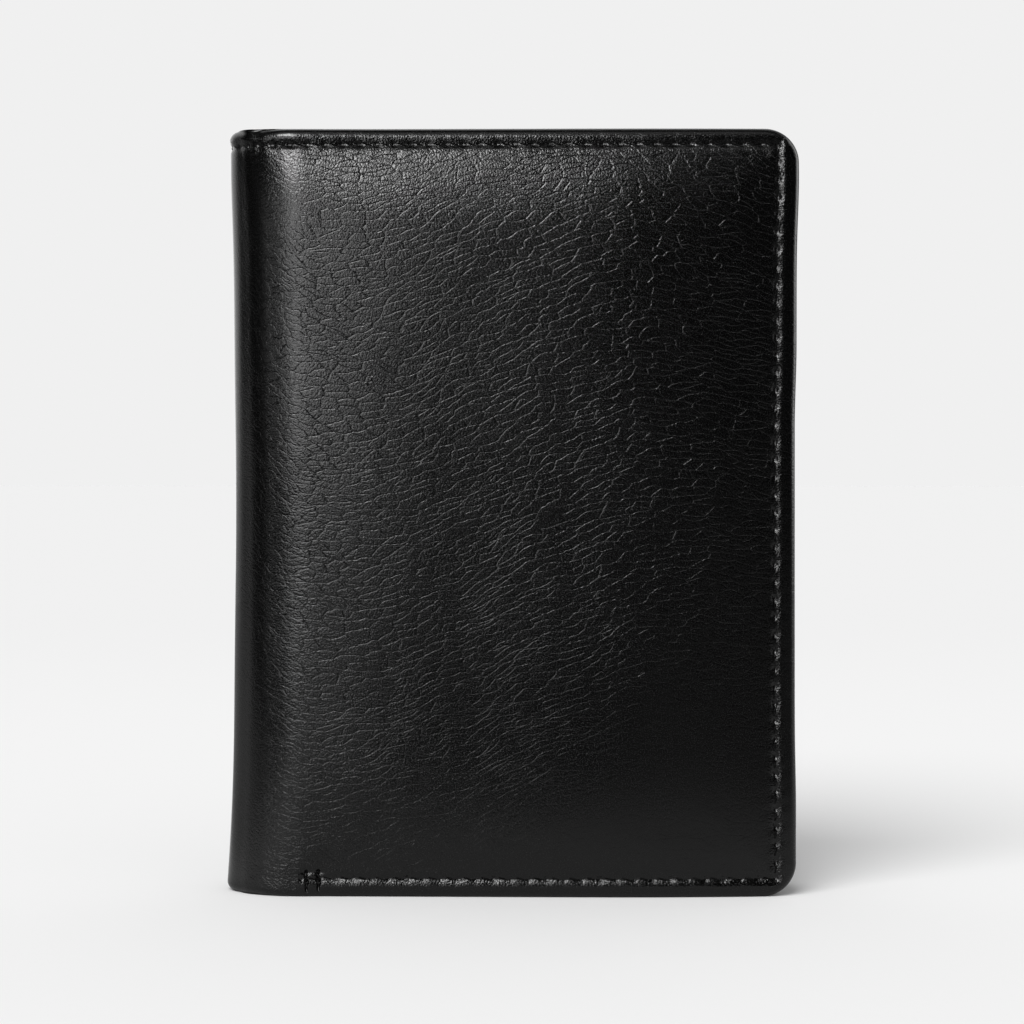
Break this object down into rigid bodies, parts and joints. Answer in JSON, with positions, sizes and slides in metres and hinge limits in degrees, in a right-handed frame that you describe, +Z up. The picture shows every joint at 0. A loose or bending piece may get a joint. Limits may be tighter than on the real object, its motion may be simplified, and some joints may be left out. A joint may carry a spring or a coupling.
{
  "type": "minimalist wallet",
  "caption": "Upright bifold wallet in soft black leather with rounded corners, stitched edges, stepped card slots, a lined note compartment and a hinged window flap",
  "frame": {"origin": "middle of the bottom of the shut wallet's box, on the surface it stands on", "axes": "+Z up along the spine, +X from the spine to the opening edge, -Y out of the front cover"},
  "size_m": [0.0949, 0.02, 0.128],
  "materials": {
    "cover_leather": "semi-gloss pebbled black leather",
    "inner_leather": "satin black leather",
    "lining_fabric": "matt black woven lining",
    "padding": "matt felt padding",
    "clear_window": "clear flexible sheet"
  },
  "bodies": {
    "back_leaf": {"cover_back": "cover_leather", "padding_back": "padding", "bill_lining_back": "lining_fabric", "bill_divider_back": "lining_fabric", "bill_wall_back": "lining_fabric", "slot_panel_back": "inner_leather", "card_slot_back_1": "inner_leather", "card_slot_back_2": "inner_leather", "card_slot_back_3": "inner_leather", "card_slot_back_4": "inner_leather", "card_slot_back_5": "inner_leather", "flap_hinge": "inner_leather"},
    "spine": {"cover_spine": "cover_leather", "bill_lining_spine": "lining_fabric", "bill_divider_spine": "lining_fabric", "bill_wall_spine": "lining_fabric"},
    "front_leaf": {"cover_front": "cover_leather", "padding_front": "padding", "bill_lining_front": "lining_fabric", "bill_divider_front": "lining_fabric", "bill_wall_front": "lining_fabric", "slot_panel_front": "inner_leather", "card_slot_front_1": "inner_leather", "card_slot_front_2": "inner_leather", "card_slot_front_3": "inner_leather", "card_slot_front_4": "inner_leather", "card_slot_front_5": "inner_leather"},
    "centre_flap": {"flap_core": "lining_fabric", "flap_frame_front": "inner_leather", "flap_frame_back": "inner_leather", "flap_window_front": "clear_window", "flap_window_back": "clear_window"}
  },
  "joints": [
    {"name": "spine_fold", "type": "hinge", "parent": "back_leaf", "child": "spine", "pos_m": [-0.046, 0.0077, 0.064], "axis": [0, 0, -1], "range_deg": [0, 90]},
    {"name": "front_fold", "type": "hinge", "parent": "spine", "child": "front_leaf", "pos_m": [-0.046, -0.0077, 0.064], "axis": [0, 0, -1], "range_deg": [0, 90]},
    {"name": "flap_turn", "type": "hinge", "parent": "back_leaf", "child": "centre_flap", "pos_m": [-0.0422, 0, 0.064], "axis": [0, 0, -1], "range_deg": [0, 90]}
  ],
  "couplings": [
    {"joint": "front_fold", "follows": "spine_fold", "ratio": 1},
    {"joint": "flap_turn", "follows": "spine_fold", "ratio": 1}
  ]
}
